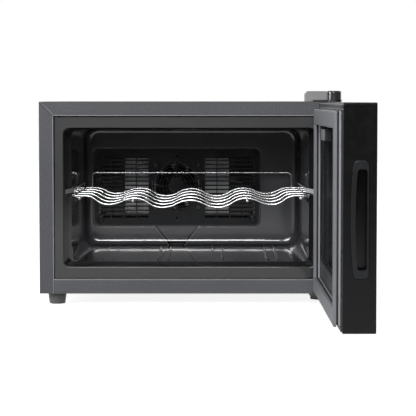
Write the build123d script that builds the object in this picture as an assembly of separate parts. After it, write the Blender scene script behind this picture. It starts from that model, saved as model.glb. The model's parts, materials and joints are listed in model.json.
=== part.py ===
from build123d import *
import math
import os

# Countertop thermoelectric wine cooler, door swung open a quarter turn.
# Frame: origin on the floor, midway between the cabinet's sides, in the plane
# of the cabinet's front flange. +X to the right, +Y to the back, +Z up.

# cabinet
CAB_W = 450.0
CAB_D = 455.0
CAB_Z0 = 17.0
CAB_Z1 = 304.0
SHEET = 0.8
FLANGE = 21.5
FLANGE_TOP_Z = 282.7
STRIP_TOP_Z = 38.5
HEM_W = 1.6
HEM_D = 7.0

# liner
LINER_T = 2.0
LIP_X = 188.3
LIP_Z0 = 57.5
LIP_Z1 = 264.9
LIP_R = 9.0
STEP_Y = 47.0
STEP_X = 180.2
STEP_Z0 = 61.0
STEP_Z1 = 262.4
BACK_Y = 325.0
BACK_X = 177.2
BACK_Z0 = 63.5
BACK_Z1 = 261.5
BACK_R = 22.0
BACK_FILLET = 10.0
LIP_ROUND = 1.5
RECESS_ROUND = 1.3
LINER_FLANGE_X = 201.4
LINER_FLANGE_Z0 = 40.9
LINER_FLANGE_Z1 = 280.6

# cold side
COVER_X = -25.4
COVER_Z = 160.0
COVER_W = 275.6
COVER_H = 126.4
COVER_R = 8.4
COVER_Y = 327.0
COVER_T = 2.0
FAN_Z = 162.0
GUARD_R = 41.5
SLOT_ROWS = 15
SLOT_PITCH = 7.0
SLOT_H = 4.5
SLOT_COLUMNS = ((47.3, 66.6), (68.2, 87.8), (90.0, 109.7), (111.3, 122.5), (123.5, 131.0))
CAP_DX = 127.6
CAP_DZ = 53.4
CAP_R = 5.8
BLOCK_HALF = 20.0

# rack
WIRE_R = 1.6
RUNNER_R = 2.2
RACK_Y0 = 50.0
RACK_Y1 = 296.0
RACK_END_X = 175.0
RACK_END_Z = 161.0
FENCE_X = 165.0
FENCE_Z = 186.0
FENCE_R = 1.25

# door, drawn closed and then swung open about its hinge pins
DOOR_X = 225.0
DOOR_Z0 = 18.0
DOOR_Z1 = 303.4
DOOR_Y0 = -53.0
DOOR_Y1 = -11.4
PIVOT_X = 212.0
PIVOT_Y = -30.3
PIN_R = 4.0
BUSH_GAP = 0.05
GLASS_T = 4.0
GASKET_FACE_Y = -0.4
WINDOW = (-195.0, 183.5, 49.0, 270.8)
INNER_PANE = (WINDOW[0] - 10.0, WINDOW[1] + 10.0, 72.0, WINDOW[3] + 10.0)
HANDLE_Z = 159.2
HANDLE_H = 146.6
POCKET_H = 124.6
POCKET_D = 22.0

# feet
FOOT_LEFT = (-200.4, 25.0)
FOOT_RIGHT = (210.0, 19.0)
FOOT_R = 14.0
FOOT_BASE_R = 11.8


def block(x0, x1, y0, y1, z0, z1):
    return Pos((x0 + x1) / 2, (y0 + y1) / 2, (z0 + z1) / 2) * Box(x1 - x0, y1 - y0, z1 - z0)


def upright(y):
    return Plane(origin=(0, y, 0), x_dir=(1, 0, 0), z_dir=(0, -1, 0))


def slab(sketch, y0, y1):
    return extrude(upright(y0) * sketch, amount=y1 - y0, dir=(0, 1, 0))


def round_rect(x0, x1, z0, z1, r):
    return Pos((x0 + x1) / 2, (z0 + z1) / 2) * RectangleRounded(x1 - x0, z1 - z0, r)


def plain_rect(x0, x1, z0, z1):
    return Pos((x0 + x1) / 2, (z0 + z1) / 2) * Rectangle(x1 - x0, z1 - z0)


def rod(p0, p1, r):
    path = Line(p0, p1)
    return sweep(Plane(origin=p0, z_dir=path % 0) * Circle(r), path=path)


def post(x, y, z0, z1, r):
    return Pos(x, y, (z0 + z1) / 2) * Cylinder(r, z1 - z0)


def barrel(x, z, y0, y1, r):
    return Pos(x, (y0 + y1) / 2, z) * Rot(90, 0, 0) * Cylinder(r, y1 - y0)


def band(rect, grow, width, y0, y1, r):
    x0, x1, z0, z1 = rect
    outer = round_rect(x0 - grow, x1 + grow, z0 - grow, z1 + grow, r)
    g = grow - width
    inner = round_rect(x0 - g, x1 + g, z0 - g, z1 + g, max(r - width, 0.8))
    return slab(outer - inner, y0, y1)


def swing(part):
    return Pos(PIVOT_X, PIVOT_Y, 0) * Rot(0, 0, 90) * Pos(-PIVOT_X, -PIVOT_Y, 0) * part


def pan_screw(x, z, y, head_r, shaft_r, length, facing):
    head = barrel(x, z, min(y, y + facing * 2.0), max(y, y + facing * 2.0), head_r)
    head = fillet(head.edges().group_by(Axis.Y)[0 if facing < 0 else -1], 0.9)
    tip = y - facing * length
    shaft = barrel(x, z, min(y, tip), max(y, tip), shaft_r)
    slot_y = y + facing * 1.6
    cross = Pos(x, slot_y, z) * Box(head_r * 1.1, 1.4, 0.9) + Pos(x, slot_y, z) * Box(0.9, 1.4, head_r * 1.1)
    return head + shaft - cross


# ---------------------------------------------------------------- cabinet

def hem():
    x = CAB_W / 2 - FLANGE
    outer = plain_rect(-x - HEM_W, x + HEM_W, CAB_Z0, FLANGE_TOP_Z + HEM_W)
    inner = plain_rect(-x, x, CAB_Z0 - 1, FLANGE_TOP_Z)
    ring = slab(outer - inner, 0, HEM_D)
    front = ring.edges().group_by(Axis.Y)[0]
    inside = [e for e in front if abs(e.center().X) < x + 0.1 and e.center().Z < FLANGE_TOP_Z + 0.1
              and e.center().Z > CAB_Z0 + 1]
    return chamfer(inside, 0.9)


def mitre_groove(side):
    run = FLANGE * math.sqrt(2) + 1.0
    x = side * (CAB_W / 2 - FLANGE / 2)
    z = CAB_Z1 - FLANGE / 2
    return Pos(x, 0, z) * Rot(0, side * -45, 0) * Box(run, 0.9, 1.1)


def cabinet_wrap():
    w = CAB_W / 2
    shell = block(-w, w, 0, CAB_D, CAB_Z0, CAB_Z1)
    corners = shell.edges().filter_by(Axis.Y).group_by(Axis.Z)[-1]
    shell = fillet(corners, 1.6)
    fronts = [e for e in shell.edges().group_by(Axis.Y)[0] if e.center().Z > CAB_Z0 + 1]
    shell = fillet(fronts, 1.1)
    shell -= block(-w + SHEET, w - SHEET, SHEET, CAB_D + 1, CAB_Z0 - 1, CAB_Z1 - SHEET)
    shell -= block(-w + FLANGE, w - FLANGE, -1, 2, CAB_Z0 - 1, FLANGE_TOP_Z)
    shell += hem()
    shell -= mitre_groove(1)
    shell -= mitre_groove(-1)
    for x, y in top_screw_points():
        shell -= post(x, y, CAB_Z1 - 2, CAB_Z1 + 1, 2.0)
    return shell


def base_pan():
    w = CAB_W / 2 - SHEET - 0.1
    x = CAB_W / 2 - FLANGE - 0.15
    pan = block(-w, w, SHEET + 0.1, CAB_D - SHEET - 0.1, CAB_Z0, CAB_Z0 + SHEET)
    pan += block(-x, x, 0, 5, CAB_Z0, CAB_Z0 + SHEET)
    pan -= block(-w - 1, -x, -1, HEM_D + 0.2, CAB_Z0 - 1, CAB_Z0 + 2)
    pan -= block(x, w + 1, -1, HEM_D + 0.2, CAB_Z0 - 1, CAB_Z0 + 2)
    strip = block(-x, x, 0, SHEET, CAB_Z0, STRIP_TOP_Z)
    lip = block(-x, x, 0, HEM_D, STRIP_TOP_Z - HEM_W, STRIP_TOP_Z)
    along = lip.edges().filter_by(Axis.X)
    edge = [e for e in along if e.center().Y < 0.1 and e.center().Z > STRIP_TOP_Z - 0.1]
    strip += chamfer(edge, 0.9)
    pan += strip
    pan -= post(FOOT_LEFT[0], FOOT_LEFT[1], CAB_Z0 - 1, CAB_Z0 + 2, PIN_R + BUSH_GAP)
    pan -= post(FOOT_RIGHT[0], FOOT_RIGHT[1], CAB_Z0 - 1, CAB_Z0 + 2, PIN_R + BUSH_GAP)
    return pan


def rear_panel():
    panel = block(-224.0, 224.0, CAB_D - SHEET, CAB_D, 18.0, 303.0)
    slots = Sketch()
    for side in (-1, 1):
        grid = GridLocations(0, 9.0, 1, 12)
        slots += [Pos(COVER_X + side * 112, FAN_Z) * loc * SlotOverall(70, 4) for loc in grid]
    panel -= slab(slots, CAB_D - 2, CAB_D + 1)
    panel -= barrel(COVER_X, FAN_Z, CAB_D - 2, CAB_D + 1, 44.0)
    for dx in (-41.25, 41.25):
        for dz in (-41.25, 41.25):
            panel -= barrel(COVER_X + dx, FAN_Z + dz, CAB_D - 2, CAB_D + 1, 2.1)
    panel -= block(-206.2, -177.8, CAB_D - 2, CAB_D + 1, 38.4, 60.6)
    for x, z in rear_screw_points():
        panel -= barrel(x, z, CAB_D - 2, CAB_D + 1, 1.6)
    return panel


def rear_screw_points():
    return [(x, z) for x in (-212.0, -70.0, 70.0, 212.0) for z in (26.0, 295.0)]


def rear_panel_screws():
    return [pan_screw(x, z, CAB_D, 3.4, 1.5, 6.0, 1) for x, z in rear_screw_points()]


def wall_spacer(x):
    body = barrel(x, 272.0, CAB_D, CAB_D + 12.3, 9.0)
    body = fillet(body.edges().group_by(Axis.Y)[-1], 2.0)
    return body - barrel(x, 272.0, CAB_D + 4, CAB_D + 13, 4.0)


def rear_foot(x):
    body = Pos(x, 420.0, 0) * Cone(11.0, 13.0, CAB_Z0, align=(Align.CENTER, Align.CENTER, Align.MIN))
    return fillet(body.edges().group_by(Axis.Z)[0], 1.5)


def bulkhead():
    plate = block(-224.0, 224.0, 386.4, 387.2, 18.0, 303.0)
    plate -= block(COVER_X - 24, COVER_X + 24, 380, 390, FAN_Z - 24, FAN_Z + 24)
    for dx in (-34.0, 34.0):
        plate -= barrel(COVER_X + dx, FAN_Z, 380, 390, 2.6)
    return plate


# ---------------------------------------------------------------- liner

def cavity(grow):
    front = slab(round_rect(-LIP_X - grow, LIP_X + grow, LIP_Z0 - grow, LIP_Z1 + grow, LIP_R + grow),
                 -2.0 if grow == 0 else 1.2, STEP_Y + grow)
    near = upright(STEP_Y) * round_rect(-STEP_X - grow, STEP_X + grow, STEP_Z0 - grow,
                                        STEP_Z1 + grow, 12 + grow)
    far = upright(BACK_Y + grow) * round_rect(-BACK_X - grow, BACK_X + grow, BACK_Z0 - grow,
                                              BACK_Z1 + grow, BACK_R + grow)
    deep = loft([near, far])
    deep = fillet(deep.edges().group_by(Axis.Y)[-1], BACK_FILLET + grow)
    return front + deep


def recess(grow):
    w = COVER_W / 2 + 2
    h = COVER_H / 2 + 2
    mouth = slab(round_rect(COVER_X - w - grow, COVER_X + w + grow, COVER_Z - h - grow, COVER_Z + h + grow,
                            COVER_R + 1.2 + grow), BACK_Y - 1, 331.0 + grow)
    w = w - 12
    h = h - 11
    deep = slab(round_rect(COVER_X - w - grow, COVER_X + w + grow, COVER_Z - h - grow, COVER_Z + h + grow,
                           COVER_R + grow), BACK_Y - 1, 361.0 + grow)
    return mouth + deep


def funnel(grow):
    g = grow
    outline = Polygon((-38.5 - g, 98 + g), (38.5 + g, 98 + g), (9 + g, 60 - g), (-9 - g, 60 - g), align=None)
    prism = slab(Pos(COVER_X, 0) * outline, BACK_Y - 9, BACK_Y + 9)
    return prism & (Pos(0, 3.2, 0) * cavity(grow))


def ledge(side):
    upper = [(-189.4, 6), (-186.2, 6), (-176, 52), (-172, 218), (-174, 229), (-178.8, 232), (-181.4, 49),
             (-189.4, 46)]
    lower = [(-181.4, 49), (-178.5, 49), (-172.8, 57), (-172.8, 222), (-175, 230), (-178.8, 232)]
    parts = []
    for outline, z0, z1, r in ((upper, 163.4, 173.0, 1.8), (lower, 151.5, 158.4, 1.4)):
        points = [(-side * x, y) for x, y in outline]
        plan = make_face(Polyline(*points, close=True))
        bar = Pos(0, 0, z0) * extrude(plan, amount=z1 - z0, dir=(0, 0, 1))
        room_side = [e for e in bar.edges().filter_by(Plane.XY) if abs(e.center().X) < 174.5]
        parts.append(fillet(room_side, r))
    return parts


def floor_ribs(room):
    ribs = []
    for centre in (-127.0, -42.0, 42.0, 127.0):
        for offset in (-8.0, 8.0):
            x = centre + offset
            line = rod((x, 74, STEP_Z0 - 0.9), (x, 298, BACK_Z0 - 1.2), 2.4)
            ribs.append(line & room)
    return ribs


def inner_liner():
    room = cavity(0)
    outer = cavity(LINER_T)
    flange = slab(round_rect(-LINER_FLANGE_X, LINER_FLANGE_X, LINER_FLANGE_Z0, LINER_FLANGE_Z1, 1.5),
                  1.2, 8.0)
    flange -= slab(plain_rect(-LINER_FLANGE_X + 2, LINER_FLANGE_X - 2, LINER_FLANGE_Z0 + 2,
                              LINER_FLANGE_Z1 - 2), 3.2, 9.0)
    hook = slab(plain_rect(-207, 207, 36.6, 286.2), 7.2, 8.8)
    hook -= slab(plain_rect(-LINER_FLANGE_X + 2, LINER_FLANGE_X - 2, LINER_FLANGE_Z0 + 2,
                            LINER_FLANGE_Z1 - 2), 6, 10)
    shell = outer + flange + hook + recess(LINER_T) + funnel(LINER_T)
    shell = shell - room - recess(0) - funnel(0)
    shell -= block(COVER_X - 21, COVER_X + 21, 355, 365, FAN_Z - 21, FAN_Z + 21)
    for dx in (-34.0, 34.0):
        shell -= barrel(COVER_X + dx, FAN_Z, 355, 365, 2.6)
    shell = fillet(lip_edges(shell), LIP_ROUND)
    shell = fillet(recess_edges(shell), RECESS_ROUND)
    for side in (-1, 1):
        for bar in ledge(side):
            shell += bar
    for rib in floor_ribs(room):
        shell += rib
    return shell


def lip_edges(shell):
    mouth = [e for e in shell.edges() if abs(e.center().Y - 1.2) < 0.01]
    return [e for e in mouth if abs(e.center().X) < LIP_X + 0.1 and LIP_Z0 - 0.1 < e.center().Z < LIP_Z1 + 0.1]


def recess_edges(shell):
    w = COVER_W / 2 + 2.1
    h = COVER_H / 2 + 2.1
    rim = [e for e in shell.edges() if abs(e.bounding_box().min.Y - BACK_Y) < 0.01
           and abs(e.bounding_box().max.Y - BACK_Y) < 0.01]
    return [e for e in rim if abs(e.center().X - COVER_X) < w and abs(e.center().Z - COVER_Z) < h]


def foam_insulation():
    body = block(-224.1, 224.1, 9.0, 386.3, 17.9, 303.1)
    body -= cavity(LINER_T)
    body -= recess(LINER_T)
    body -= funnel(LINER_T)
    body -= block(COVER_X - 21, COVER_X + 21, 355, 390, FAN_Z - 21, FAN_Z + 21)
    for dx in (-34.0, 34.0):
        body -= barrel(COVER_X + dx, FAN_Z, 355, 390, 2.6)
    for x, y in (FOOT_LEFT, FOOT_RIGHT):
        body -= post(x, y, 17, 34, 7.0)
    for x, y in ((184.0, 12.0), (196.0, 12.0)):
        body -= post(x, y, 292, 304, 3.0)
        body -= post(x, y + 24, 17, 28, 3.0)
    return body


def lamp_lens():
    body = slab(plain_rect(-22, 22, 260.5, 262.2), 70, 82)
    body = fillet(body.edges().filter_by(Axis.Z), 1.6)
    return fillet(body.edges().group_by(Axis.Z)[0], 0.7)


# ---------------------------------------------------------------- cold side

def slot_grid():
    cells = []
    for row in range(SLOT_ROWS):
        dz = (row - (SLOT_ROWS - 1) / 2) * SLOT_PITCH
        for x0, x1 in SLOT_COLUMNS:
            for side in (-1, 1):
                xc = side * (x0 + x1) / 2
                near_cap = math.hypot(abs(xc) - CAP_DX, abs(dz) - CAP_DZ) < CAP_R + 5.5
                if not near_cap:
                    cells.append(Pos(COVER_X + xc, COVER_Z + dz) * Rectangle(x1 - x0, SLOT_H))
    return cells


def evaporator_cover():
    x0 = COVER_X - COVER_W / 2
    z0 = COVER_Z - COVER_H / 2
    face = round_rect(x0, x0 + COVER_W, z0, z0 + COVER_H, COVER_R)
    face -= slot_grid()
    hub = Pos(COVER_X, FAN_Z)
    face -= hub * Circle(GUARD_R)
    for ring in range(6):
        r = GUARD_R - 1.0 - ring * 5.4
        face += hub * (Circle(r) - Circle(r - 1.7))
    face += hub * Circle(8.6)
    for angle in (0, 90):
        spoke = Rectangle(2 * GUARD_R + 1, 2.4) & Circle(GUARD_R + 0.4)
        face += hub * Rot(0, 0, angle) * spoke
    plate = slab(face, COVER_Y, COVER_Y + COVER_T)
    rim = slab(round_rect(x0, x0 + COVER_W, z0, z0 + COVER_H, COVER_R)
               - round_rect(x0 + 2, x0 + COVER_W - 2, z0 + 2, z0 + COVER_H - 2, COVER_R - 2),
               COVER_Y, 331.0)
    plate += rim
    plate += clip_bosses()
    for z0, z1 in ((104.2, 111.2), (210.6, 214.0)):
        plate -= block(COVER_X - 1.6, COVER_X + 1.6, COVER_Y - 2, COVER_Y + 3, z0, z1)
    for dx in (-35.75, 35.75):
        for dz in (-35.75, 35.75):
            plate += barrel(COVER_X + dx, FAN_Z + dz, COVER_Y, COVER_Y + COVER_T, 5.2)
            plate -= barrel(COVER_X + dx, FAN_Z + dz, COVER_Y - 1, COVER_Y + 4, 1.9)
    return plate


def clip_bosses():
    bosses = []
    for z, half in ((118.6, 4.4), (113.4, 3.4), (208.2, 4.0)):
        boss = block(COVER_X - half, COVER_X + half, COVER_Y - 1.5, COVER_Y + 0.5, z - 1.6, z + 1.6)
        bosses.append(fillet(boss.edges().group_by(Axis.Y)[0], 0.6))
    return bosses


def cover_caps():
    caps = []
    for sx in (-1, 1):
        for sz in (-1, 1):
            cap = barrel(COVER_X + sx * CAP_DX, COVER_Z + sz * CAP_DZ, COVER_Y - 2.2, COVER_Y, CAP_R)
            caps.append(fillet(cap.edges().group_by(Axis.Y)[0], 1.4))
    return caps


def fan_frame(half, y0, depth, bore, hole, motor_side):
    body = block(COVER_X - half, COVER_X + half, y0, y0 + depth, FAN_Z - half, FAN_Z + half)
    body = fillet(body.edges().filter_by(Axis.Y), 4.0)
    body -= barrel(COVER_X, FAN_Z, y0 - 1, y0 + depth + 1, bore)
    mid0 = y0 + 3.6
    mid1 = y0 + depth - 3.6
    ring = barrel(COVER_X, FAN_Z, mid0, mid1, half + 20) - barrel(COVER_X, FAN_Z, mid0, mid1, bore + 1.8)
    keep = Sketch()
    for sx in (-1, 1):
        for sz in (-1, 1):
            keep += Pos(COVER_X + sx * hole, FAN_Z + sz * hole) * Circle(4.2)
    body -= ring - slab(keep, mid0 - 1, mid1 + 1)
    arm0 = y0 + depth - 2.2 if motor_side > 0 else y0
    for angle in (20, 110, 200, 290):
        a = math.radians(angle)
        arm = Rot(0, -angle, 0) * Pos(bore / 2 + 2, 0, 0) * Box(bore - 2, 2.2, 4.0)
        body += Pos(COVER_X, arm0 + 1.1, FAN_Z) * arm
    body += barrel(COVER_X, FAN_Z, arm0, arm0 + 2.2, 15.0)
    body -= barrel(COVER_X, FAN_Z, y0 - 1, y0 + depth + 1, 1.5 + BUSH_GAP)
    for sx in (-1, 1):
        for sz in (-1, 1):
            body -= barrel(COVER_X + sx * hole, FAN_Z + sz * hole, y0 - 1, y0 + depth + 1, 1.75)
    return body


def fan_rotor(y0, depth, hub_r, tip_r, blades, pitch, chord, motor_side):
    y1 = y0 + depth
    hub = barrel(COVER_X, FAN_Z, y0, y1, hub_r)
    front = 0 if motor_side > 0 else -1
    hub = fillet(hub.edges().group_by(Axis.Y)[front], 1.6)
    reach = tip_r - hub_r + 4
    blade = Pos(hub_r - 3 + reach / 2, 0, 0) * Rot(pitch, 0, 0) * Box(reach, 1.3, chord)
    trim = Rot(90, 0, 0) * Cylinder(tip_r, depth - 1.0)
    blade = blade & trim
    for n in range(blades):
        hub += Pos(COVER_X, (y0 + y1) / 2, FAN_Z) * Rot(0, 360.0 * n / blades, 0) * blade
    shaft0 = y1 - 0.2 if motor_side > 0 else y0 - 2.4
    hub += barrel(COVER_X, FAN_Z, shaft0, shaft0 + 2.6, 1.5)
    return hub


def finned_sink(width, height, base0, base1, fin_tip, pitch, fin_t):
    cx = COVER_X
    sink = block(cx - width / 2, cx + width / 2, base0, base1, FAN_Z - height / 2, FAN_Z + height / 2)
    count = int((width - fin_t) / pitch) + 1
    start = cx - (count - 1) * pitch / 2
    y0 = min(base0, fin_tip)
    y1 = max(base1, fin_tip)
    for n in range(count):
        x = start + n * pitch
        sink += block(x - fin_t / 2, x + fin_t / 2, y0, y1, FAN_Z - height / 2, FAN_Z + height / 2)
    return sink


def cold_sink():
    sink = finned_sink(175.0, 92.0, 357.0, 361.0, 346.2, 6.2, 1.1)
    for dx in (-34.0, 34.0):
        sink -= barrel(COVER_X + dx, FAN_Z, 340, 365, 2.05)
    return sink


def hot_sink():
    sink = finned_sink(150.0, 110.0, 388.8, 394.0, 428.0, 5.4, 1.1)
    for dx in (-34.0, 34.0):
        sink -= barrel(COVER_X + dx, FAN_Z, 380, 430, 4.6) - barrel(COVER_X + dx, FAN_Z, 380, 394, 5.0)
        sink -= barrel(COVER_X + dx, FAN_Z, 380, 400, 2.05)
    return sink


def pad(y0, y1):
    h = BLOCK_HALF
    return block(COVER_X - h, COVER_X + h, y0, y1, FAN_Z - h, FAN_Z + h)


def clamp_screws():
    return [pan_screw(COVER_X + dx, FAN_Z, 394.0, 3.8, 2.0, 36.0, 1) for dx in (-34.0, 34.0)]


def fan_screws(y, hole, length, facing):
    points = [(sx * hole, sz * hole) for sx in (-1, 1) for sz in (-1, 1)]
    return [pan_screw(COVER_X + dx, FAN_Z + dz, y, 3.6, 1.7, length, facing) for dx, dz in points]


def rear_fan_guard():
    rings = []
    y = CAB_D + 1.4
    for r in (12.0, 20.0, 28.0, 36.0, 44.0):
        rings.append(Pos(COVER_X, y, FAN_Z) * Rot(90, 0, 0) * Torus(r, 1.0))
    guard = rings[0]
    for extra in rings[1:]:
        guard += extra
    for angle in (45, 135):
        a = math.radians(angle)
        dx = 58.0 * math.cos(a)
        dz = 58.0 * math.sin(a)
        guard += rod((COVER_X - dx, y, FAN_Z - dz), (COVER_X + dx, y, FAN_Z + dz), 1.3)
    for sx in (-1, 1):
        for sz in (-1, 1):
            x = COVER_X + sx * 41.25
            z = FAN_Z + sz * 41.25
            guard += barrel(x, z, CAB_D, CAB_D + 3.0, 5.0)
            guard -= barrel(x, z, CAB_D - 1, CAB_D + 4, 1.8)
    return guard


def circuit_board():
    return block(104.0, 206.0, 398.0, 399.6, 60.0, 140.0)


def board_standoffs():
    return [barrel(x, z, 387.2, 398.0, 3.0) for x in (110.0, 200.0) for z in (66.0, 134.0)]


def board_transformer():
    core = block(116.0, 150.0, 399.6, 424.0, 72.0, 104.0)
    coil = block(122.0, 144.0, 397.6 + 2.0, 427.0, 68.0, 108.0)
    return core + coil


def board_capacitors():
    return [barrel(166.0 + 13.0 * n, 84.0, 399.6, 422.0, 5.0) for n in range(3)]


def board_heatsink():
    body = block(158.0, 200.0, 399.6, 402.0, 104.0, 128.0)
    for n in range(6):
        x = 160.0 + n * 7.6
        body += block(x - 0.8, x + 0.8, 401.0, 420.0, 104.0, 128.0)
    return body


def power_inlet():
    body = block(-206.0, -178.0, CAB_D - 22.0, CAB_D + 0.1, 38.6, 60.4)
    body += slab(round_rect(-210.0, -174.0, 35.0, 64.0, 3.0), CAB_D + 0.05, CAB_D + 2.4)
    mouth = Polygon((-203.8, 41.0), (-180.2, 41.0), (-180.2, 54.0), (-184.4, 58.0), (-199.6, 58.0),
                    (-203.8, 54.0), align=None)
    body -= slab(mouth, CAB_D - 17.0, CAB_D + 4)
    body -= block(-193.0, -191.0, CAB_D - 20, CAB_D - 14, 52.0, 56.0)
    body -= block(-200.0, -198.0, CAB_D - 20, CAB_D - 14, 45.0, 49.0)
    body -= block(-186.0, -184.0, CAB_D - 20, CAB_D - 14, 45.0, 49.0)
    return body


def inlet_pins():
    pins = []
    for x, z in ((-192.0, 54.0), (-199.0, 47.0), (-185.0, 47.0)):
        pins.append(block(x - 1.0, x + 1.0, CAB_D - 20.0, CAB_D - 3.0, z - 2.0, z + 2.0))
    return pins


# ---------------------------------------------------------------- rack

def wave_wire(share):
    y = RACK_Y0 + (RACK_Y1 - RACK_Y0) * share

    def mix(a, b):
        return a + (b - a) * share

    half = [(-160.0, RACK_END_Z), (-124.5, mix(147.8, 151.6)), (-84.5, mix(157.4, 160.4)),
            (-42.5, mix(143.4, 147.6)), (0.0, mix(154.3, 159.4))]
    bends = half + [(-x, z) for x, z in reversed(half[:-1])]
    edges = [Line((-RACK_END_X, y, RACK_END_Z), (-160.0, y, RACK_END_Z))]
    for (x0, z0), (x1, z1) in zip(bends, bends[1:]):
        middle = ((x0 + x1) / 2, y, (z0 + z1) / 2)
        first = TangentArc((x0, y, z0), middle, tangent=(1, 0, 0))
        edges += [first, TangentArc(middle, (x1, y, z1), tangent=first % 1)]
    edges.append(Line((160.0, y, RACK_END_Z), (RACK_END_X, y, RACK_END_Z)))
    path = Wire(edges)
    return sweep(Plane(origin=path @ 0, z_dir=path % 0) * Circle(WIRE_R), path=path)


def wave_wires():
    return [wave_wire(n / 4) for n in range(5)]


def side_rods():
    z = RACK_END_Z
    bars = []
    for side in (-1, 1):
        x = side * (RACK_END_X + 0.6)
        bars.append(rod((x, RACK_Y0 - WIRE_R, z), (x, RACK_Y1 + WIRE_R, z), WIRE_R))
    return bars


def runner_rods():
    bars = []
    for x, z0, z1 in ((168.5, 157.1, 157.3), (87.0, 153.5, 156.5)):
        for side in (-1, 1):
            start = (side * x, RACK_Y0 - 3.0, z0)
            end = (side * x, RACK_Y1 + 4.0, z1)
            bar = rod(start, end, RUNNER_R)
            bars.append(fillet(bar.edges().filter_by(GeomType.CIRCLE), 0.9))
    return bars


def rack_fence():
    y = RACK_Y1 + WIRE_R + FENCE_R - 0.15
    foot = 159.5
    r = 7.0
    rise = Line((-FENCE_X, y, foot), (-FENCE_X, y, FENCE_Z - r))
    bend = TangentArc((-FENCE_X, y, FENCE_Z - r), (-FENCE_X + r, y, FENCE_Z), tangent=(0, 0, 1))
    top = Line((-FENCE_X + r, y, FENCE_Z), (FENCE_X - r, y, FENCE_Z))
    turn = TangentArc((FENCE_X - r, y, FENCE_Z), (FENCE_X, y, FENCE_Z - r), tangent=(1, 0, 0))
    drop = Line((FENCE_X, y, FENCE_Z - r), (FENCE_X, y, foot))
    path = Wire([rise, bend, top, turn, drop])
    return sweep(Plane(origin=(-FENCE_X, y, foot), z_dir=(0, 0, 1)) * Circle(FENCE_R), path=path)


# ---------------------------------------------------------------- door

def grown(rect, g):
    x0, x1, z0, z1 = rect
    return (x0 - g, x1 + g, z0 - g, z1 + g)


def door_frame():
    body = slab(plain_rect(-DOOR_X, DOOR_X, DOOR_Z0, DOOR_Z1), DOOR_Y0, DOOR_Y1)
    body = fillet(body.edges().filter_by(Axis.Y), 2.0)
    body = fillet(body.edges().group_by(Axis.Y)[0], 1.2)
    body -= slab(round_rect(-DOOR_X + 2.9, DOOR_X - 2.9, DOOR_Z0 + 2.9, DOOR_Z1 - 2.9, 2.1),
                 DOOR_Y0 - 1, DOOR_Y0 + GLASS_T)
    opening = grown(WINDOW, 2.0)
    body -= slab(round_rect(*opening, 3.0), DOOR_Y0 - 1, DOOR_Y1 + 1)
    hollow = plain_rect(-DOOR_X + 2.5, DOOR_X - 2.5, DOOR_Z0 + 2.5, DOOR_Z1 - 2.5)
    hollow -= plain_rect(*grown(opening, 2.4))
    channel = slab(hollow, DOOR_Y0 + GLASS_T + 2.5, DOOR_Y1 + 1)
    for z0, z1 in ((DOOR_Z1 - 19.0, DOOR_Z1), (DOOR_Z0, DOOR_Z0 + 19.0)):
        channel -= block(200.0, 223.0, -46.5, -14.0, z0, z1)
    body -= channel
    body -= slab(plain_rect(*grown(WINDOW, 13.2)), -16.2, DOOR_Y1 + 1)
    body -= post(PIVOT_X, PIVOT_Y, DOOR_Z1 - 17.0, DOOR_Z1 + 1, 7.0)
    body -= post(PIVOT_X, PIVOT_Y, DOOR_Z0 - 1, DOOR_Z0 + 17.0, 7.0)
    socket = handle_outline(-43.7, -23.8, -20.0, HANDLE_H + 0.4, 6.0)
    body -= extrude(side_plane(-DOOR_X - 1) * socket, amount=6.0, dir=(1, 0, 0))
    return body


def side_plane(x):
    return Plane(origin=(x, 0, HANDLE_Z), x_dir=(0, 1, 0), z_dir=(1, 0, 0))


def handle_outline(y_straight, y_end, y_mid, height, r):
    h = height / 2
    straight = Line((y_straight, -h), (y_straight, h))
    top = Line((y_straight, h), (y_end, h))
    bow = ThreePointArc((y_end, h), (y_mid, 0), (y_end, -h))
    foot = Line((y_end, -h), (y_straight, -h))
    face = make_face([straight, top, bow, foot])
    return fillet(face.vertices(), r)


def handle_insert():
    bezel = extrude(side_plane(-DOOR_X) * handle_outline(-43.5, -24.0, -20.2, HANDLE_H, 5.9),
                    amount=4.6, dir=(1, 0, 0))
    rim = bezel.edges().group_by(Axis.X)[0]
    bezel = fillet(rim, 1.0)
    tub = extrude(side_plane(-DOOR_X + 4.0) * handle_outline(-42.6, -27.6, -24.9, POCKET_H + 3.2, 4.6),
                  amount=POCKET_D - 2.4, dir=(1, 0, 0))
    pocket = extrude(side_plane(-DOOR_X - 1) * handle_outline(-41.0, -29.2, -26.5, POCKET_H, 3.4),
                     amount=POCKET_D, dir=(1, 0, 0))
    body = bezel + tub - pocket
    return body


def door_outer_glass():
    pane = round_rect(-DOOR_X + 3, DOOR_X - 3, DOOR_Z0 + 3, DOOR_Z1 - 3, 2.0)
    body = slab(pane, DOOR_Y0, DOOR_Y0 + GLASS_T)
    return chamfer(body.edges().group_by(Axis.Y)[0], 0.5)


def door_inner_frame():
    glass = grown(INNER_PANE, 0.2)
    plate = slab(round_rect(-DOOR_X + 1.5, DOOR_X - 1.5, DOOR_Z0 + 1.5, DOOR_Z1 - 1.5, 2.0)
                 - plain_rect(*glass), DOOR_Y1, -10.0)
    wall = slab(plain_rect(*grown(glass, 2.6)) - plain_rect(*glass), -16.0, DOOR_Y1)
    seat = slab(plain_rect(*grown(glass, 2.6)) - plain_rect(*grown(INNER_PANE, -3.4)), -16.0, -14.0)
    plate += wall
    plate += seat
    rect = (-DOOR_X + 1.5, DOOR_X - 1.5, DOOR_Z0 + 1.5, DOOR_Z1 - 1.5)
    for inset in (1.0, 3.6):
        plate += band(rect, -inset, 1.1, -10.0, -8.9, 1.6)
    return plate


def door_inner_glass():
    return slab(plain_rect(*INNER_PANE), -14.0, -10.0)


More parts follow.
